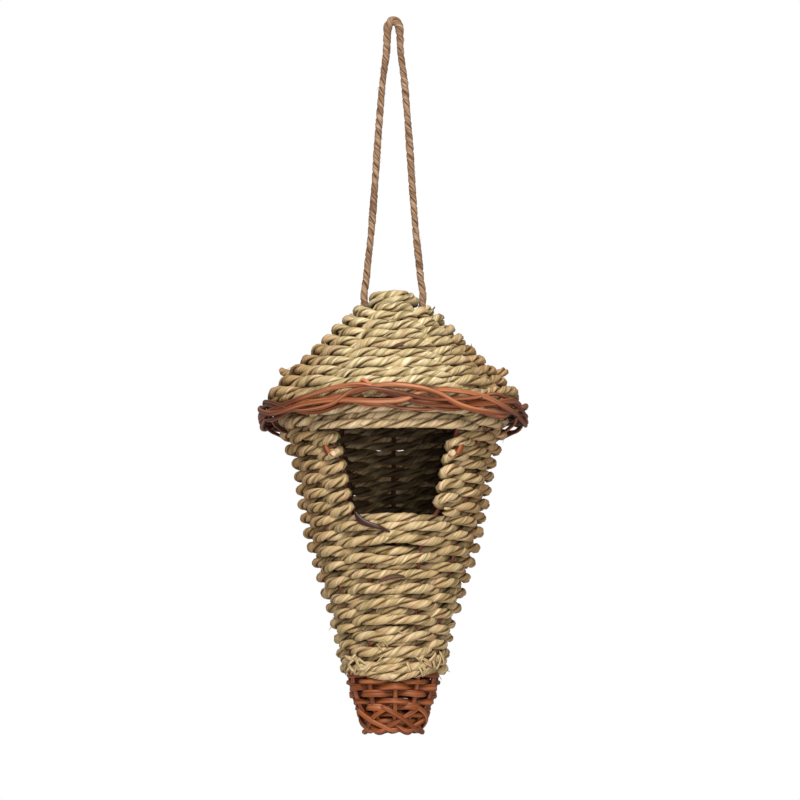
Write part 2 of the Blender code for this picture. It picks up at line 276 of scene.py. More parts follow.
def arc_lengths(line):
    """Distance along a line to each of its points."""
    steps = np.linalg.norm(np.diff(line, axis=0), axis=1)
    return np.concatenate([[0.0], np.cumsum(steps)])


def resample(line, step, closed=False):
    """The same line with points a step apart; a closed line isn't repeated at its end."""
    if closed:
        line = np.vstack([line, line[:1]])
    along = arc_lengths(line)
    count = max(4, int(round(along[-1] / step)))
    targets = np.linspace(0.0, along[-1], count, endpoint=not closed)
    return np.stack([np.interp(targets, along, line[:, axis]) for axis in range(3)], axis=-1)


def smooth_line(points, per_span=8):
    """A Catmull-Rom curve through a few points."""
    points = np.asarray(points, float)
    ends = np.vstack([2 * points[0] - points[1], points, 2 * points[-1] - points[-2]])
    t = (np.arange(per_span) / per_span)[:, None]
    spans = []
    for p0, p1, p2, p3 in zip(ends, ends[1:], ends[2:], ends[3:]):
        spans.append(0.5 * (2 * p1 + (p2 - p0) * t + (2 * p0 - 5 * p1 + 4 * p2 - p3) * t ** 2
                            + (3 * p1 - p0 - 3 * p2 + p3) * t ** 3))
    return np.vstack(spans + [points[-1:]])


# The materials paint shade on the cords by this depth, darkest at the wall's inner side.
def wall_depth(places):
    """+1 at the outer surface of the wall, -1 at the inner one."""
    radius = np.hypot(places[:, 0], places[:, 1])
    height = places[:, 2] - UNDERSIDE
    body = (radius - wall_radius(height)) / HALF_WALL
    roof = (radius + height - ROOF_SUM) / math.sqrt(2.0) / HALF_WALL
    return np.clip(np.where(height + 0.35 * radius > 0.193, roof, body), -1.6, 1.6)


def side_painted_shade(places):
    """Painted shade at the sides: 0 at the front and back, rising to 1 at the far left and right; under the
    brim, never below the body's fixed share.
    """
    radius = np.maximum(np.hypot(places[:, 0], places[:, 1]), 0.004)
    side_shade = limited((np.abs(places[:, 0]) / radius - 0.45) / 0.5)
    reach = limited((np.abs(places[:, 0]) - 0.018) / 0.022)
    body = np.where(places[:, 2] - UNDERSIDE < BRIM_HEIGHT, BODY_SHADE, 0.0)
    return np.maximum(side_shade * reach, body)


def per_ring(size, line):
    """A size, or one size for each point of a line, shaped for rings of points."""
    return np.broadcast_to(np.asarray(size, float), (len(line),))[:, None, None]


class Fibre:
    """Collects tubes of one material into one mesh, with the coordinates that its grain follows."""

    def __init__(self):
        self.verts = []
        self.faces = []
        self.grain = []
        self.ply_hollow_shade = []
        self.count = 0

    def tube(self, line, outward, radius_out, radius_side, sides, closed=False,
             spiral=0.0, lumps=0.05, taper=0.0, blades=0.0):
        """One tube: an ellipse swept along the line, its first axis turned to outward."""
        direction = tangents(line, closed)
        outward = squared(outward, direction)
        side = np.cross(direction, outward)
        along = arc_lengths(line)
        around = np.linspace(0.0, TURN, sides, endpoint=False)
        swell = 1 + blades * np.cos(4 * (around[None, :] + spiral * along[:, None]))
        turn = TURN / along[-1] if closed else 1.0
        for mode in (2, 3, 5):
            rate = draw(0.3, 1.4) * TURN / 0.012
            if closed:
                rate = round(rate / turn) * turn
            phase = draw(0.0, TURN)
            swell += lumps * np.sin(mode * around[None, :] + rate * along[:, None] + phase)
        fade = np.ones(len(line))
        if taper and not closed:
            ends = np.clip(np.minimum(along, along[-1] - along) / taper, 0.02, 1.0)
            fade = np.sqrt(ends * (2 - ends))
        out = (np.cos(around)[None, :] * swell * fade[:, None])[..., None]
        across = (np.sin(around)[None, :] * swell * fade[:, None])[..., None]
        rings = line[:, None, :] + out * per_ring(radius_out, line) * outward[:, None, :]
        rings = rings + across * per_ring(radius_side, line) * side[:, None, :]
        start = draw(0.0, 40.0)
        grain_turn = around[None, :] + spiral * along[:, None]
        grain = np.stack([np.cos(grain_turn), np.sin(grain_turn),
                          np.broadcast_to(along[:, None] + start, grain_turn.shape)], axis=-1)
        # The last values are how far each point faces out of its ply: the mask for the painted shade
        # between plies.
        self.add_rings(rings, grain, np.broadcast_to(np.cos(around)[None, :], swell.shape), closed)

    def add_rings(self, rings, grain, ply_hollow_shade, closed):
        """Faces between rings of points, with a cap at each open end."""
        count, sides = rings.shape[:2]
        index = self.count + np.arange(count * sides).reshape(count, sides)
        following = np.roll(index, -1, axis=0) if closed else index[1:]
        current = index if closed else index[:-1]
        quads = np.stack([current, np.roll(current, -1, axis=1),
                          np.roll(following, -1, axis=1), following], axis=-1)
        self.verts.append(rings.reshape(-1, 3))
        self.grain.append(grain.reshape(-1, 3))
        self.ply_hollow_shade.append(np.asarray(ply_hollow_shade).reshape(-1))
        self.faces.extend(quads.reshape(-1, 4).tolist())
        self.count += count * sides
        if not closed:
            self.faces.append(index[0][::-1].tolist())
            self.faces.append(index[-1].tolist())

    def piece(self, name, material, slot, replaced=()):
        """The mesh object, riding on the nest's one body."""
        mesh = bpy.data.meshes.new(name)
        mesh.from_pydata(np.vstack(self.verts), [], self.faces)
        mesh.shade_smooth()
        grain = mesh.attributes.new("grain", "FLOAT_VECTOR", "POINT")
        grain.data.foreach_set("vector", np.vstack(self.grain).astype(np.float32).ravel())
        place = np.vstack(self.verts)
        # outward masks the painted shade between plies, depth the painted shade inside the walls, side the
        # painted shade at the sides.
        for label, values in (("outward", np.concatenate(self.ply_hollow_shade)), ("depth", wall_depth(place)),
                              ("side", side_painted_shade(place))):
            attribute = mesh.attributes.new(label, "FLOAT", "POINT")
            attribute.data.foreach_set("value", values.astype(np.float32))
        mesh.materials.append(material)
        mesh.validate()
        obj = bpy.data.objects.new(name, mesh)
        bpy.context.scene.collection.objects.link(obj)
        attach(obj, "root")
        if replaced:
            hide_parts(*replaced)
        return obj


def lay_cord(fibre, line, outward, diameter=CORD_DIAMETER, pitch=CORD_PITCH, closed=False,
             sides=PLY_SIDES, taper=0.0, lumps=0.045, blades=0.055, bulge=0.0):
    """A two-ply cord along a line: each ply is a flattened strand that winds round the middle."""
    direction = tangents(line, closed)
    outward = squared(outward, direction)
    up = np.cross(outward, direction)
    along = arc_lengths(line)
    total = along[-1] + (np.linalg.norm(line[0] - line[-1]) if closed else 0.0)
    turns = total / (pitch * draw(0.93, 1.07))
    if closed:
        turns = max(1, round(turns))
    start = draw(0.0, TURN)
    twist = start + TURN * turns * along / total
    slow = TURN / total if closed else TURN / 0.23
    size = diameter * draw(0.96, 1.04) * (1 + bulge) * np.ones(len(line))
    for mode in (3, 5, 8):
        size *= 1 + 0.035 * np.sin(mode * slow * along + draw(0, 6.28))
    share = draw(0.94, 1.06)
    if diameter > ROPE_DIAMETER:
        ROWS.append((line, outward))
    for ply in range(2):
        part = share if ply else 2 - share
        angle = twist + np.pi * ply
        spoke = np.cos(angle)[:, None] * outward + np.sin(angle)[:, None] * up
        centre = line + spoke * (PLY_OFFSET * size)[:, None]
        fibre.tube(centre, spoke, PLY_DEEP * size * part, PLY_WIDE * size * part, sides, closed,
                   spiral=draw(150.0, 320.0), lumps=lumps, taper=taper, blades=blades)


def wobble(angles, size):
    """A smooth unevenness that closes on itself round the nest."""
    total = np.zeros_like(angles)
    for mode in WOBBLE_MODES:
        total += draw(0.3, 1.0) * np.sin(np.radians(mode * angles) + draw(0, 6.28))
    return size * total / len(WOBBLE_MODES) ** 0.5


def outward_of(line, normal):
    """Outward directions of the wall along a line; normal is (out, up)."""
    return unit(unit(line * FLAT) * normal[0] + np.array([0.0, 0.0, normal[1]]))


def facing(direction, line):
    """The same direction at each point of a line."""
    return np.tile(direction, (len(line), 1))


def lay_ring(fibre, line, normal, size, step=PLY_STEP):
    """A closed row of cord."""
    line = resample(line, step, closed=True)
    lay_cord(fibre, line, outward_of(line, normal), size, closed=True)


def strand_ring(fibre, line, step, thick, wide, sides=10, lumps=0.03):
    """A closed rattan strand."""
    line = resample(line, step, closed=True)
    fibre.tube(line, outward_of(line, OUT), thick, wide, sides, closed=True, lumps=lumps)


# ---- the cord weave
def row_line(angles, posts, radius, height, normal, parity, sag=0.0):
    """One row of weave: round the wall's middle, swinging out and in; normal is (out, up)."""
    offset = WEAVE_SWING * parity * swing(angles, posts) + wobble(angles, 0.00035)
    level = height + wobble(angles, 0.00038) + sag * np.exp(-(angles / 17.0) ** 2)
    return polar(radius + offset * normal[0], angles, level + offset * normal[1])


def body_normal(height):
    """(out, up) normal of the body's wall."""
    rise = 0.004
    slope = (wall_radius(height + rise) - wall_radius(height - rise)) / (2 * rise)
    length = math.hypot(1.0, slope)
    return (1.0 / length, -slope / length)


def full_circle(step_count=360):
    """Angles once round, the first not repeated."""
    return np.linspace(-180.0, 180.0, step_count, endpoint=False)


def add_body_row(fibre, height, parity):
    """A closed row of cord round the body."""
    sag = draw(-0.0017, 0.0017) * limited((SILL_ROW - height) / 0.012)
    line = row_line(full_circle(), posts_at(height), wall_radius(height), height, OUT, parity, sag)
    lay_ring(fibre, line, body_normal(height), CORD_DIAMETER * draw(0.93, 1.08))


def lower_body(material):
    """Rows from the foot to the door sill, and the tail of the cord over the top of the base."""
    heights = np.linspace(BODY_FIRST_ROW, SILL_ROW, BODY_ROW_COUNT)
    half = BODY_ROW_COUNT // 2
    for name, numbers, replaced in (("body_cord_foot", range(half), ["body_weave"]),
                                    ("body_cord_sill", range(half, BODY_ROW_COUNT), [])):
        fibre = Fibre()
        for number in numbers:
            add_body_row(fibre, heights[number], (-1) ** (number + BODY_ROW_COUNT))
        if not replaced:
            fibre.piece(name, material, "seagrass_cord")
            continue
        for reach, low, lift in ((64.0, 0.0284, 0.0058), (40.0, 0.0318, 0.003)):
            angles = np.linspace(-reach, reach, 60)
            sag = (1 - np.abs(angles) / reach) ** 0.8
            height = low + lift * (1 - sag)
            radius = wall_radius(height) + 0.0034 - 0.0022 * (1 - sag)
            line = resample(polar(radius, angles, height), PLY_STEP)
            lay_cord(fibre, line, outward_of(line, OUT), TAIL_CORD, taper=0.003)
        fibre.piece(name, material, "seagrass_cord", replaced)


def lintel(material):
    """Rows over the doorway, up to the brim."""
    fibre = Fibre()
    for number, height in enumerate(LINTEL_ROWS):
        add_body_row(fibre, height, (-1) ** number)
    fibre.piece("body_cord_lintel", material, "seagrass_cord")


def door_rows(material):
    """One long cord that goes back and forth behind the doorway and turns round the jamb stakes."""
    heights = np.linspace(DOOR_FIRST_ROW, DOOR_LAST_ROW, DOOR_ROW_COUNT)
    lines = []
    for number, height in enumerate(heights):
        posts = posts_at(height)
        jamb = min(angle for angle, _ in posts if angle > 0)
        parity = (-1) ** number
        angles = np.linspace(jamb, 360.0 - jamb, 300)
        wrapped = np.where(angles > 180.0, angles - 360.0, angles)
        row = row_line(wrapped, posts, wall_radius(height), height, OUT, parity)
        if number % 2 == 1:
            row = row[::-1]
        lines.append(row)
        if number + 1 < len(heights):
            side = -1 if number % 2 == 0 else 1
            lines.append(jamb_turn(heights[number], heights[number + 1], side, parity))
    line = resample(np.vstack(lines), PLY_STEP)
    fibre = Fibre()
    lay_cord(fibre, line, outward_of(line, OUT), DOOR_CORD, taper=0.004)
    fibre.piece("body_cord_door", material, "seagrass_cord")


def jamb_turn(low, high, side, parity):
    """The half loop that carries a row round its jamb stake to the row above."""
    middle = (low + high) / 2
    jamb = min(angle for angle, _ in posts_at(middle) if angle > 0)
    reach = 0.0036 + draw(-0.0003, 0.0003)
    turn = np.linspace(0.0, np.pi, 14)[1:-1]
    radius = wall_radius(middle) + parity * WEAVE_SWING * np.cos(turn)
    degrees = side * (jamb - np.degrees(reach * np.sin(turn) / wall_radius(middle)))
    return polar(radius, degrees, low + (high - low) * turn / np.pi)


def roof(material):
    """Rows of cord down the roof, one under the crown, and two that close the eave."""
    half = ROOF_ROW_COUNT // 2
    for name, numbers, replaced in (("roof_cord_upper", range(half), ["roof_weave"]),
                                    ("roof_cord_lower", range(half, ROOF_ROW_COUNT), [])):
        fibre = Fibre()
        for number in numbers:
            part = number / (ROOF_ROW_COUNT - 1)
            radius = ROOF_FIRST[0] + (ROOF_LAST[0] - ROOF_FIRST[0]) * part
            height = ROOF_FIRST[1] + (ROOF_LAST[1] - ROOF_FIRST[1]) * part
            parity = (-1) ** number
            line = row_line(full_circle(), spoke_posts(radius), radius, height, ROOF_NORMAL, parity)
            lay_ring(fibre, line, ROOF_NORMAL, CORD_DIAMETER * draw(0.94, 1.08))
        if replaced:
            lay_ring(fibre, polar(0.0108, full_circle(90), 0.2172), ROOF_NORMAL, 0.0042, 0.0012)
        else:
            eave = row_line(full_circle(), [(-90.0, 1), (90.0, 1)], 0.0622, 0.1696, (0.4, 0.0), 1)
            lay_ring(fibre, eave, OUT, CORD_DIAMETER)
            lay_ring(fibre, polar(0.059, full_circle(), 0.1722), ROOF_NORMAL, CORD_DIAMETER)
        fibre.piece(name, material, "seagrass_cord", replaced)


def crown(material):
    """The coil of cord that binds the spokes above the roof."""
    turns = 2.75
    angles = np.linspace(0.0, 360.0 * turns, 240)
    round_by = angles / 360.0
    climb = np.interp(round_by, [0.0, 0.25, 1.25, 1.9, turns], [0.0, 0.0002, 0.0042, 0.005, 0.003])
    radius = np.interp(round_by, [0.0, 1.0, 1.7, 2.2, turns], [0.0114, 0.0108, 0.0096, 0.0052, 0.0014])
    line = resample(polar(radius, angles + 150.0, 0.2212 + climb), 0.0011)
    fibre = Fibre()
    lay_cord(fibre, line, outward_of(line, OUT), CROWN_CORD, taper=0.004)
    fibre.piece("crown_cord", material, "seagrass_cord", ["crown_coil"])


# ---- rattan
def add_strand(fibre, points, radius, flat=1.0, step=0.0011, taper=0.0, lumps=0.03, sides=10):
    """A rattan strand through a few points; flat widens it along the wall and thins it across."""
    line = resample(smooth_line(points), step)
    outward = unit(line * FLAT + np.array([1e-6, 0.0, 0.0]))
    fibre.tube(line, outward, radius / flat, radius * flat, sides, lumps=lumps, taper=taper)


def stakes_and_spokes(material):
    """Round rods in place of the plain CAD stakes and spokes."""
    for name, line in list(STAKE_LINES.items()) + list(SPOKE_LINES.items()):
        fibre = Fibre()
        radius = STAKE_RADIUS if name in STAKE_LINES else SPOKE_RADIUS
        line = smooth_line(line)
        height = line[:, 2] - UNDERSIDE
        hidden = 0.0019 + 0.0011 * np.sin(height * TURN / 0.031 + draw(0.0, 6.28))
        if name in ("stake_02", "stake_03"):
            hidden = hidden + 0.0016 * limited((height - 0.095) / 0.006)
        if name in ("stake_10", "stake_11", "stake_12"):
            hidden = hidden * np.interp(height, [0.09, 0.1], [1.0, 0.0])
        hidden = hidden * limited((height - 0.03) / 0.008)
        flat = unit(line * FLAT)
        if name in ("roof_spoke_03", "roof_spoke_04"):
            hidden = hidden * (1 - np.exp(-((height - 0.2045) / 0.003) ** 2))
        if name in SPOKE_LINES:
            flat = unit(flat + np.array([0.0, 0.0, 1.0]))
            hidden = hidden * limited((0.212 - height) / 0.006)
        add_strand(fibre, line - flat * hidden[:, None], radius, step=0.0022)
        fibre.piece(name + "_rod", material, "rattan_stakes", [name])


def sill_strip(rattan, dark):
    """The front stake: it climbs inside the body, comes out under the sill and lies cut off there."""
    height, degrees, radius = np.array(SILL_COURSE).T
    line = resample(smooth_line(polar(radius / 1000.0, degrees, height / 1000.0)), 0.0011)
    rise = line[:, 2] - UNDERSIDE
    out = limited((rise - 0.0985) / 0.002)
    shown = limited((rise - 0.1008) / 0.0101)
    width = 1 - out + out * (0.45 + 0.85 * np.sin(np.pi * shown))
    low = rise < 0.0975
    rod = Fibre()
    rod.tube(line[low], outward_of(line[low], OUT), STAKE_RADIUS, STAKE_RADIUS, 10, lumps=0.02)
    rod.piece("sill_stake", rattan, "rattan_stakes", ["stake_01_cut_at_sill"])
    high = rise > 0.096
    strip = Fibre()
    strip.tube(line[high], outward_of(line[high], OUT), (STAKE_RADIUS * (1 - 0.45 * out))[high],
               (STAKE_RADIUS * width)[high], 14, lumps=0.02)
    strip.piece("sill_strip", dark, "rattan_stakes")


def brown_blades(material):
    """Two brown leaf blades that show between the cords in front."""
    fibre = Fibre()
    for degrees, height, radius in ((2.0, 0.1946, 0.0431), (-1.0, 0.0776, wall_radius(0.0776) + 0.0047)):
        reach = np.array([-9.5, -5.5, 0.0, 5.5, 10.0])
        bow = np.array([-0.002, -0.0006, 0.0006, 0.0008, 0.0004])
        points = polar(radius + 0.3 * bow, degrees + reach, height + bow)
        add_strand(fibre, points, 0.0008, 1.5, step=0.0006, taper=0.006, lumps=0.05)
    fibre.piece("brown_blades", material, "seagrass_cord")


def jamb_bits(rattan, pale):
    """The bent-over ends of two more stakes beside the doorway, with their pale cut ends."""
    bits = Fibre()
    ends = Fibre()
    wall = wall_radius(0.142)
    for side in (-1, 1):
        bit = polar(wall + np.array([0.001, 0.004, 0.0044, 0.003]),
                    side * np.array([41.4, 40.4, 39.2, 38.0]), [0.1478, 0.1452, 0.1422, 0.1396])
        add_strand(bits, bit, 0.0014, 1.15, step=0.0008)
        knob = polar(wall + np.array([0.001, 0.0036, 0.0054]), side * np.array([34.6, 34.6, 34.9]),
                     [0.1402, 0.1398, 0.1394])
        add_strand(ends, knob, 0.0018, step=0.0003, taper=0.0012, lumps=0.1)
    bits.piece("jamb_stake_bits", rattan, "rattan_stakes")
    ends.piece("jamb_cut_ends", pale, "rattan_stakes")


def base_posts(height):
    """Azimuths and signs of all twelve stakes low down, in order round the base."""
    angles = [angle for angle, _ in posts_at(height)] + [3.0]
    return [(angle, (-1) ** number) for number, angle in enumerate(sorted(angles))]


def base_weave(material):
    """Fine rattan strands over and under the twelve stakes."""
    fibre = Fibre()
    first, last, count = BASE_ROWS
    angles = full_circle(300)
    for number, height in enumerate(np.linspace(first, last, count)):
        parity = (-1) ** number
        reach = np.interp(height, [0.008, 0.017], [0.45, 1.0]) * BASE_SWING
        offset = reach * parity * swing(angles, base_posts(height)) + wobble(angles, 0.0003)
        level = height + wobble(angles, 0.00035)
        line = resample(polar(wall_radius(height) + offset, angles, level), 0.001, closed=True)
        size = STRAND_RADIUS * draw(0.8, 1.06)
        thick = size * (1 + wobble(np.linspace(0.0, 360.0, len(line)), 0.07))
        fibre.tube(line, outward_of(line, OUT), thick * 0.85, thick * 1.2, 12, closed=True, lumps=0.07)
        if number in DOUBLED_BASE_ROWS:
            above = level + 0.0015 + wobble(angles, 0.0003)
            second = polar(wall_radius(height) + offset * 1.1, angles, above)
            strand_ring(fibre, second, 0.0011, 0.0007, 0.0008, lumps=0.07)
    fibre.piece("base_rattan_rows", material, "rattan_base", ["base_weave"])


def base_floor(material):
    """The woven floor of the base: ribs that carry on from the stakes and a coil between them."""
    fibre = Fibre()
    for number in range(6):
        degrees = 3.0 + number * 30.0
        lift = 0.004 + 0.0005 * (number % 2)
        across = np.array([-0.0122, -0.006, 0.0, 0.006, 0.0122])
        rise = np.array([0.0012, 0.0, 0.0, 0.0, 0.0012])
        add_strand(fibre, polar(across, degrees, lift + rise), 0.0011, step=0.0015)
    turns = 4.2
    angles = np.linspace(0.0, 360.0 * turns, 420)
    radius = 0.0016 + 0.0104 * angles / (360.0 * turns)
    height = 0.0045 + 0.0011 * np.cos(np.radians(angles * 6.0 * (1 + 1 / 12.0)))
    line = resample(polar(radius, angles, height), 0.0009)
    fibre.tube(line, facing(DOWN, line), 0.001, 0.0012, 10, lumps=0.04)
    fibre.piece("base_floor_weave", material, "rattan_base")


def base_border(material):
    """The looped border under the base: slanting strands that cross, and scallops between them."""
    fibre = Fibre()
    for number in range(6):
        middle = number * 60.0
        for hand in (-1, 1):
            shift = draw(-5.0, 5.0)
            turn = middle + 30.0 * (hand > 0) + hand * np.array([-52.0, -34.0, -14.0, 8.0, 30.0, 46.0])
            radius = np.array([0.018, 0.0182, 0.0168, 0.0144, 0.0132, 0.0118]) + 0.0004 * hand
            height = np.array([0.0142, 0.0112, 0.0076, 0.0042, 0.0021, 0.0032])
            add_strand(fibre, polar(radius, turn + shift, height), 0.00115, 1.12, taper=0.001)
    angles = full_circle(240)
    for phase, radius, height, thick in ((0.0, 0.0132, 0.0016, 0.0013), (30.0, 0.012, 0.0024, 0.0012)):
        lobe = np.abs(np.cos(np.radians(3.0 * (angles + phase))))
        ring = polar(radius + 0.0016 * (1 - lobe), angles, height + 0.0036 * lobe ** 2.2)
        strand_ring(fibre, ring, 0.0009, thick, thick * 1.05, 12, 0.05)
    fibre.piece("base_border_loops", material, "rattan_base", ["bottom_border"])


def brim_band(material):
    """Rattan strands that wind about each other round the brim, and one short stub."""
    fibre = Fibre()
    for radius, course in BRIM_STRANDS:
        points = np.array([polar(r / 1000.0, degrees, height / 1000.0) for degrees, height, r in course])
        points[:, 2] -= 0.0016 * (points[:, 0] / 0.068) ** 2
        add_strand(fibre, points, radius, 1.1, taper=0.001, lumps=0.035, sides=12)
    stub = polar([0.0672, 0.0684, 0.0672, 0.065], [-9.0, -11.0, -13.0, -15.0],
                 [0.171, 0.1728, 0.174, 0.1722])
    add_strand(fibre, stub, 0.0011, step=0.0006, taper=0.0008)
    fibre.piece("brim_strands", material, "rattan_brim",
                ["brim_strand_1", "brim_strand_2", "brim_strand_3"])


def brim_border(material):
    """The border under the band: drooping loops, their hoop, and ties to the body."""
    fibre = Fibre()
    for number in range(12):
        start = -180.0 + number * 30.0 + draw(-3.0, 3.0)
        drop = draw(-0.0008, 0.0008)
        at_side = abs(math.sin(math.radians(start + 22.0)))
        radius = np.array([0.065, 0.0672, 0.0686, 0.0684, 0.0668, 0.0646]) - 0.0068 * (1 - at_side)
        height = np.array([0.1668, 0.1622, 0.159, 0.1588, 0.162, 0.166])
        height = height + drop + 0.0034 * (1 - at_side)
        turn = start + np.array([0.0, 8.0, 17.0, 27.0, 37.0, 46.0])
        add_strand(fibre, polar(radius, turn, height), draw(0.0009, 0.0012), taper=0.001)
    for degrees in (-98.0, 97.0, -140.0, 143.0, -66.0, 68.0):
        sweep = math.copysign(9.0, degrees)
        tie = polar([0.0676, 0.065, 0.0618, 0.059, 0.056],
                    degrees + sweep * np.array([0.0, 0.4, 0.7, 0.9, 1.0]),
                    [0.16, 0.1576, 0.156, 0.1546, 0.154])
        add_strand(fibre, tie, 0.0009, step=0.0008, taper=0.001)
    under = np.array([polar(r / 1000.0, degrees, h / 1000.0) for degrees, h, r in UNDER_STRAND])
    add_strand(fibre, under, 0.001, taper=0.001)
    angles = full_circle(300)
    tuck = 0.005 * np.cos(np.radians(angles)) ** 2
    radius = 0.0655 - tuck + wobble(angles, 0.0004)
    height = 0.164 + 0.3 * tuck + wobble(angles, 0.0005)
    strand_ring(fibre, polar(radius, angles, height), 0.0012, 0.0011, 0.0011)
    fibre.piece("brim_border_loops", material, "rattan_base", ["brim_border_hoop"])


# ---- loose ends
def straws(material):
    """Tangled straw ends of the cord above the base, and short cord ends that poke out of the roof."""
    fibre = Fibre()
    for side in (-1, 1):
        for _ in range(17):
            degrees = side * RNG.gauss(46.0, 11.0)
            height = draw(0.0318, 0.0392)
            radius = wall_radius(height) + draw(0.0034, 0.0052)
            tilt = RNG.choice((-1, 1)) * draw(0.2, 1.25)
            length = draw(0.005, 0.0085)
            reach = np.array([-0.5, -0.15, 0.2, 0.5]) * length
            bow = np.array([-0.0006, 0.0004, 0.0005, -0.0006]) * draw(0.2, 1.2)
            turn = degrees + np.degrees(reach * math.cos(tilt) / radius)
            points = polar(radius + bow, turn, height + reach * math.sin(tilt))
            add_strand(fibre, points, draw(0.00042, 0.00066), 1.5, step=0.001, taper=0.001,
                       sides=8)
    for side in (-1, 1):
        end = polar([0.048, 0.0535, 0.0568, 0.0586], side * np.array([84.0, 87.0, 89.0, 90.0]),
                    [0.1862, 0.186, 0.1868, 0.1884])
        line = resample(smooth_line(end), 0.0008)
        lay_cord(fibre, line, outward_of(line, (0.7, 0.7)), 0.004, 0.016, taper=0.0012)
    fibre.piece("straw_ends", material, "seagrass_cord")


def stray_fibres(material):
    """Fine blades that have worked loose from the cords."""
    fibre = Fibre()
    for _ in range(240):
        line, outward = RNG.choice(ROWS)
        start = RNG.randrange(4, len(line) - 12)
        x, y, z = line[start]
        if y < 0.0 and -0.026 < x < 0.004 and 0.096 < z - UNDERSIDE < 0.114:
            continue
        along = unit(line[start + 2] - line[start])
        across = np.cross(outward[start], along)
        angle = RNG.gauss(0.0, 0.45)
        heading = along * math.cos(angle) + across * math.sin(angle)
        if RNG.random() < 0.5:
            heading = -heading
        length = draw(0.0025, 0.007)
        lift = draw(0.0001, 0.0006)
        foot = line[start] + outward[start] * 0.0022 + across * draw(-0.0014, 0.0014)
        reach = np.array([0.0, 0.35, 0.7, 1.0])[:, None] * length
        rise = np.array([0.0, 0.45, 1.0, 1.5])[:, None] * lift
        points = foot + reach * heading + rise * outward[start]
        points[:, 2] -= np.array([0.0, 0.02, 0.08, 0.18]) * length
        fine = resample(smooth_line(points, 4), 0.0012)
        fibre.tube(fine, facing(outward[start], fine), 0.0001, draw(0.00018, 0.00042), 4,
                   taper=0.0015)
    fibre.piece("stray_blades", material, "seagrass_cord")


# ---- the rope
def rope_line():
    """The rope's centreline from its knot, up the left side, over the apex and back."""
    left = [(-x, 0.0, world_z(height)) for x, height in ROPE_COURSE]
    right = [(x, 0.0, world_z(height)) for x, height in reversed(ROPE_COURSE)]
    return resample(smooth_line(left + [(0.0, 0.0, world_z(ROPE_APEX))] + right), 0.0006)


def rope(material):
    """The two-ply hanging loop, its knot inside the roof, and its hairs."""
    line = rope_line()
    loop = Fibre()
    thicker = 0.34 * np.exp(-((line[:, 2] - world_z(ROPE_APEX)) / 0.006) ** 2)
    lay_cord(loop, line, facing(TO_FRONT, line), ROPE_DIAMETER, ROPE_PITCH, sides=14, lumps=0.035,
             taper=0.001, blades=0.06, bulge=thicker)
    loop = loop.piece("hanging_loop", material, "jute_rope", ["hanging_rope"])
    turn = np.linspace(0.0, TURN, 120, endpoint=False)
    knot_line = np.stack([0.00125 * (np.sin(turn) + 2 * np.sin(2 * turn)), 0.0012 * np.sin(3 * turn),
                          world_z(KNOT_HEIGHT) + 0.00125 * (np.cos(turn) - 2 * np.cos(2 * turn))], axis=-1)
    knot = Fibre()
    thinner = ROPE_DIAMETER * 0.94
    lay_cord(knot, knot_line, facing(TO_FRONT, knot_line), thinner, ROPE_PITCH, closed=True, sides=14,
             lumps=0.03, blades=0.05)
    for side in (-1, 1):
        tail = [(side * x, y, world_z(height)) for x, y, height in ROPE_TAIL]
        tail = resample(smooth_line(tail), 0.0007)
        lay_cord(knot, tail, facing(TO_FRONT, tail), thinner, ROPE_PITCH, sides=12, taper=0.0006,
                 blades=0.05)
    knot = knot.piece("loop_knot", material, "jute_rope", ["rope_knot"])
    hairs = Fibre()
    for _ in range(420):
        start = RNG.randrange(40, len(line) - 44)
        along = unit(line[start + 3] - line[start])
        around = draw(0.0, TURN)
        out = math.cos(around) * TO_FRONT + math.sin(around) * np.cross(TO_FRONT, along)
        length = draw(0.0012, 0.0032)
        heading = along * RNG.choice((-1, 1)) * 0.9 + out * draw(0.15, 0.6)
        foot = line[start] + out * 0.0013
        reach = np.array([0.0, 0.4, 0.75, 1.0])[:, None] * length
        curl = np.array([0.0, 0.1, 0.0, -0.25])[:, None] * length * draw(0.0, 1.0)
        points = resample(smooth_line(foot + reach * heading + curl * out, 4), 0.0007)
        hairs.tube(points, facing(out, points), 0.00006, 0.00006, 4, taper=0.001)
    hairs = hairs.piece("rope_hairs", material, "jute_rope")


ROOM_COLOUR = (1.0, 0.99, 0.97, 1.0)
ROOM_LIGHT = 0.33  # strength of the light from all round
LIGHTS = (("top_softbox", (-0.1, -1.25, 0.7), 0.7, 23.0),  # name, place, size, watts
          ("front_softbox", (0.25, -1.75, -0.42), 0.8, 9.5))
LIGHT_AIM = 0.14  # heights above the nest's underside
FLOOR_LEVEL = -0.6
FLOOR_REACH = 6
CAMERA_LEVEL = -0.028
CAMERA_AIM = 0.1725
CAMERA_SIDE = 0.0034
CAMERA_DISTANCE = 1.55
CAMERA_LENS = 135.8
NO_TINT = (1.0, 1.0, 1.0, 1.0)


def aim_at(name, data, place, target):
    """A light or camera object at a place, turned to a target."""
    obj = bpy.data.objects.new(name, data)
    obj.location = place
    aim = Vector(target) - Vector(place)
    obj.rotation_euler = aim.to_track_quat("-Z", "Y").to_euler()
    bpy.context.scene.collection.objects.link(obj)
    return obj


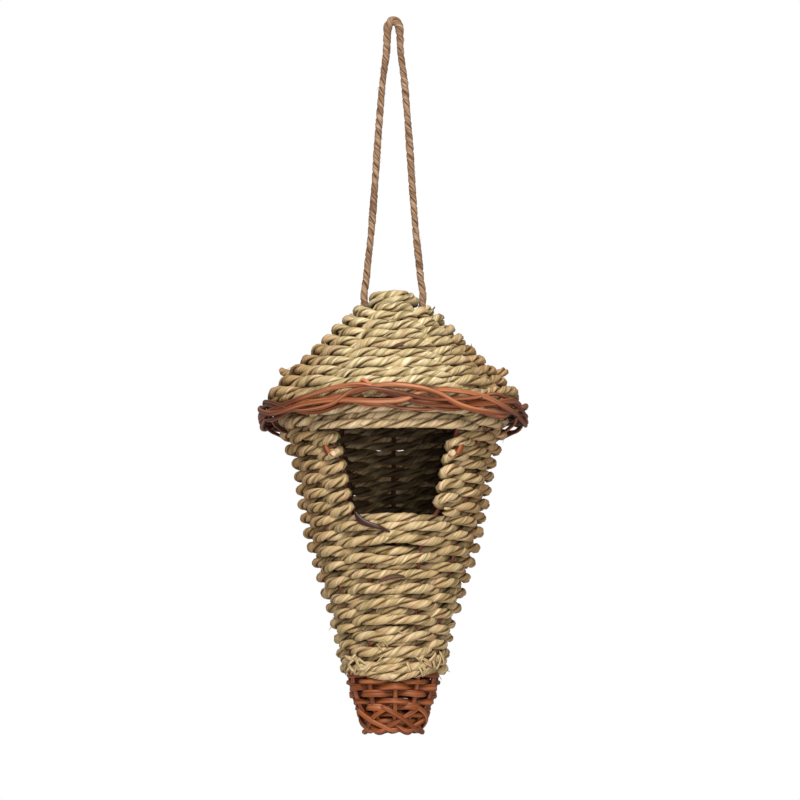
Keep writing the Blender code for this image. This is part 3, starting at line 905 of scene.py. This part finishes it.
def lights_and_camera():
    """Soft studio light on white, a pale floor and the camera."""
    scene = bpy.context.scene
    scene.view_settings.view_transform = "Standard"
    world = bpy.data.worlds.new("studio")
    world.use_nodes = True
    tree = world.node_tree
    background = tree.nodes["Background"]
    background.inputs["Color"].default_value = ROOM_COLOUR
    background.inputs["Strength"].default_value = ROOM_LIGHT
    seen = tree.nodes.new("ShaderNodeBackground")
    seen.inputs["Color"].default_value = NO_TINT
    seen.inputs["Strength"].default_value = 1.0
    path = tree.nodes.new("ShaderNodeLightPath")
    mix = tree.nodes.new("ShaderNodeMixShader")
    tree.links.new(path.outputs["Is Camera Ray"], mix.inputs["Fac"])
    tree.links.new(background.outputs["Background"], mix.inputs[1])
    tree.links.new(seen.outputs["Background"], mix.inputs[2])
    tree.links.new(mix.outputs["Shader"], tree.nodes["World Output"].inputs["Surface"])
    scene.world = world
    for name, place, size, power in LIGHTS:
        light = bpy.data.lights.new(name, "AREA")
        light.shape = "DISK"
        light.size = size
        light.energy = power
        aim_at(name, light, place, (0.0, 0.0, world_z(LIGHT_AIM)))
    mesh = bpy.data.meshes.new("floor")
    corners = [(x * FLOOR_REACH, y * FLOOR_REACH, world_z(FLOOR_LEVEL))
               for x, y in ((-1, -1), (1, -1), (1, 1), (-1, 1))]
    mesh.from_pydata(corners, [], [(0, 1, 2, 3)])
    floor = bpy.data.objects.new("floor", mesh)
    scene.collection.objects.link(floor)
    material = bpy.data.materials.new("pale_floor")
    material.use_nodes = True
    shader = material.node_tree.nodes["Principled BSDF"]
    shader.inputs["Base Color"].default_value = (0.86, 0.86, 0.85, 1.0)
    shader.inputs["Roughness"].default_value = 0.9
    mesh.materials.append(material)
    camera = bpy.data.cameras.new("camera")
    camera.lens = CAMERA_LENS
    camera.sensor_width = 36.0
    scene.camera = aim_at("camera", camera, (CAMERA_SIDE, -CAMERA_DISTANCE, world_z(CAMERA_LEVEL)),
                          (CAMERA_SIDE, 0.0, world_z(CAMERA_AIM)))


# ---- materials
def linear(red, green, blue):
    """A display colour, 0 to 255, as Blender's linear values."""
    values = []
    for channel in (red, green, blue):
        c = channel / 255.0
        values.append(c / 12.92 if c <= 0.04045 else ((c + 0.055) / 1.055) ** 2.4)
    return (*values, 1.0)


class Nodes:
    """Short forms for building a node tree."""

    def __init__(self, name):
        self.material = bpy.data.materials.new(name)
        self.material.use_nodes = True
        self.tree = self.material.node_tree
        self.shader = self.tree.nodes["Principled BSDF"]

    def new(self, kind, **values):
        """A node with some of its settings."""
        node = self.tree.nodes.new(kind)
        for key, value in values.items():
            setattr(node, key, value)
        return node

    def attribute(self, name, output):
        """A socket of one of the meshes' own attributes."""
        node = self.new("ShaderNodeAttribute", attribute_type="GEOMETRY", attribute_name=name)
        return node.outputs[output]

    def join(self, source, target):
        """Link two sockets."""
        self.tree.links.new(source, target)

    def noise(self, vector, scale, detail=3.0, roughness=0.55):
        """Noise over a vector."""
        node = self.new("ShaderNodeTexNoise")
        node.inputs["Scale"].default_value = scale
        node.inputs["Detail"].default_value = detail
        node.inputs["Roughness"].default_value = roughness
        self.join(vector, node.inputs["Vector"])
        return node.outputs["Fac"]

    def stretch(self, vector, scale):
        """A vector scaled by component."""
        node = self.new("ShaderNodeVectorMath", operation="MULTIPLY")
        node.inputs[1].default_value = scale
        self.join(vector, node.inputs[0])
        return node.outputs["Vector"]

    def ramp(self, value, stops):
        """A colour ramp through (place, colour) stops."""
        node = self.new("ShaderNodeValToRGB")
        elements = node.color_ramp.elements
        elements[0].position, elements[0].color = stops[0]
        elements[1].position, elements[1].color = stops[-1]
        for place, colour in stops[1:-1]:
            elements.new(place).color = colour
        self.join(value, node.inputs["Fac"])
        return node.outputs["Color"]

    def mix(self, factor, first, second, blend="MIX"):
        """Mix two colours; factor is a socket or a number."""
        node = self.new("ShaderNodeMix", data_type="RGBA", blend_type=blend)
        if isinstance(factor, float):
            node.inputs["Factor"].default_value = factor
        else:
            self.join(factor, node.inputs["Factor"])
        for socket, value in (("A", first), ("B", second)):
            target = [i for i in node.inputs if i.name == socket and i.type == "RGBA"][0]
            if isinstance(value, tuple):
                target.default_value = value
            else:
                self.join(value, target)
        return [o for o in node.outputs if o.type == "RGBA"][0]

    def remap(self, value, low, high, to_low, to_high):
        """A clamped linear remap."""
        node = self.new("ShaderNodeMapRange")
        for socket, number in zip(("From Min", "From Max", "To Min", "To Max"),
                                  (low, high, to_low, to_high)):
            node.inputs[socket].default_value = number
        self.join(value, node.inputs["Value"])
        return node.outputs["Result"]


def fibre_material(name, tones, tip, side, streaks, spacing, bump, roughness, inner, pale):
    """Plant fibre: tones that change along each strand, fine streaks along it, and painted shade in the
    hollows between plies, inside the walls and at the sides.
    """
    n = Nodes(name)
    grain = n.attribute("grain", "Vector")
    outward = n.attribute("outward", "Fac")
    depth = n.attribute("depth", "Fac")
    side_shade = n.attribute("side", "Fac")
    slow = n.noise(n.stretch(grain, (0.5, 0.5, spacing)), 1.0, 2.0, 0.6)
    blades = n.noise(n.stretch(grain, (1.3, 1.3, spacing * 2.0)), 1.0, 2.0, 0.5)
    fine = n.noise(n.stretch(grain, (streaks, streaks, spacing * 2.5)), 1.0, 4.0, 0.65)
    colour = n.ramp(slow, [(place, linear(*tone)) for place, *tone in tones])
    colour = n.mix(n.remap(blades, 0.48, 0.7, 0.0, pale), colour, linear(*tip))
    # Painted shade: the far left and right, and the body under the brim, are darkened and reddened by the
    # side colour.
    colour = n.mix(n.remap(side_shade, 0.0, 1.0, 0.0, 0.75), colour, n.mix(1.0, colour, side, "MULTIPLY"))
    shade = n.ramp(fine, [(0.3, (0.36, 0.26, 0.13, 1.0)), (0.5, (0.98, 0.97, 0.94, 1.0)),
                          (0.75, (1.16, 1.13, 1.06, 1.0))])
    colour = n.mix(0.8, colour, shade, "MULTIPLY")
    # Painted shade: each ply darkens where its surface turns in towards the cord's middle, in the crease
    # between the two plies.
    ply_hollow_shade = n.ramp(n.remap(outward, -0.7, 0.3, 0.0, 1.0), [(0.0, (0.28, 0.17, 0.06, 1.0)), (1.0, NO_TINT)])
    colour = n.mix(0.85, colour, ply_hollow_shade, "MULTIPLY")
    # Painted shade: the cords darken towards the wall's inner side, where the inside of the nest lies in
    # shade.
    dark = (inner * 1.08, inner * 0.92, inner * 0.66, 1.0)
    wall = n.ramp(n.remap(depth, -0.75, 0.45, 0.0, 1.0), [(0.0, dark), (1.0, NO_TINT)])
    colour = n.mix(1.0, colour, wall, "MULTIPLY")
    n.join(colour, n.shader.inputs["Base Color"])
    n.join(n.remap(fine, 0.3, 0.7, roughness + 0.12, roughness - 0.08), n.shader.inputs["Roughness"])
    n.shader.inputs["Specular IOR Level"].default_value = 0.35
    height = n.new("ShaderNodeBump")
    height.inputs["Strength"].default_value = 0.8
    height.inputs["Distance"].default_value = bump
    n.join(fine, height.inputs["Height"])
    n.join(height.outputs["Normal"], n.shader.inputs["Normal"])
    return n.material


SEAGRASS_TONES = ((0.28, 128, 106, 64), (0.42, 180, 160, 112), (0.52, 204, 184, 138),
                  (0.62, 196, 166, 122), (0.74, 168, 130, 96))
# A paler copy of the seagrass tones for the lintel: painted light where the front light reaches under the
# brim.
LIT_CORD_TONES = ((0.28, 146, 120, 78), (0.42, 208, 186, 140), (0.52, 232, 210, 166),
                   (0.62, 222, 192, 148), (0.74, 192, 152, 114))
STAKE_TONES = ((0.3, 100, 44, 24), (0.5, 144, 74, 46), (0.7, 168, 94, 60))
BASE_TONES = ((0.3, 104, 44, 14), (0.5, 152, 82, 38), (0.7, 178, 110, 62))
BRIM_TONES = ((0.3, 84, 34, 8), (0.48, 152, 80, 42), (0.7, 214, 138, 94))
JUTE_TONES = ((0.3, 108, 74, 52), (0.5, 138, 106, 80), (0.7, 164, 132, 104))
DARK_TONES = ((0.3, 40, 18, 10), (0.5, 68, 34, 20), (0.7, 92, 52, 32))
BROWN_TONES = ((0.3, 54, 32, 20), (0.5, 82, 52, 36), (0.7, 110, 76, 54))
CUT_TONES = ((0.3, 190, 150, 112), (0.5, 224, 190, 152), (0.7, 236, 212, 178))

# Each material's tones as (place, red, green, blue), its palest colour, the painted shade tint that it
# takes on at the sides, how close its streaks are, how fast its tones change along the fibre, the
# depth of its bumps, its roughness, how light its painted shade is inside the walls, and how much of
# the palest colour shows
MATERIALS = {
    "seagrass": (SEAGRASS_TONES, (246, 231, 196), (0.68, 0.47, 0.32, 1.0),
                 2.6, 30.0, 0.00018, 0.62, 0.14, 0.75),
    "seagrass_painted_light": (LIT_CORD_TONES, (252, 240, 212), (0.7, 0.52, 0.4, 1.0),
                      2.6, 30.0, 0.00018, 0.62, 0.14, 0.75),
    "rattan_stake": (STAKE_TONES, (206, 138, 96), NO_TINT, 3.0, 14.0, 0.00006, 0.45, 0.45, 0.4),
    "rattan_base": (BASE_TONES, (196, 122, 80), (0.8, 0.7, 0.62, 1.0),
                    3.0, 16.0, 0.00006, 0.42, 0.4, 0.4),
    "rattan_brim": (BRIM_TONES, (238, 178, 136), (0.3, 0.19, 0.17, 1.0),
                    3.0, 12.0, 0.00005, 0.42, 0.55, 0.4),
    "jute": (JUTE_TONES, (206, 180, 156), NO_TINT, 3.4, 60.0, 0.00012, 0.8, 1.0, 0.5),
    "rattan_dark": (DARK_TONES, (108, 66, 44), NO_TINT, 3.0, 30.0, 0.00005, 0.35, 0.6, 0.4),
    "brown_blade": (BROWN_TONES, (138, 100, 74), NO_TINT, 3.0, 30.0, 0.00015, 0.65, 0.6, 0.5),
    "rattan_cut_end": (CUT_TONES, (244, 226, 198), NO_TINT, 2.0, 200.0, 0.00005, 0.7, 1.0, 0.4),
}


def main():
    """Make the materials and lay every piece."""
    made = {name: fibre_material(name, *values) for name, values in MATERIALS.items()}
    seagrass = made["seagrass"]
    base = made["rattan_base"]
    lower_body(seagrass)
    # The lintel takes the paler copy of the seagrass: painted light under the brim.
    lintel(made["seagrass_painted_light"])
    door_rows(seagrass)
    roof(seagrass)
    crown(seagrass)
    stakes_and_spokes(made["rattan_stake"])
    sill_strip(base, made["rattan_dark"])
    jamb_bits(base, made["rattan_cut_end"])
    brown_blades(made["brown_blade"])
    base_weave(base)
    base_floor(base)
    base_border(base)
    brim_band(made["rattan_brim"])
    brim_border(made["rattan_brim"])
    stray_fibres(seagrass)
    straws(seagrass)
    rope(made["jute"])
    lights_and_camera()


main()
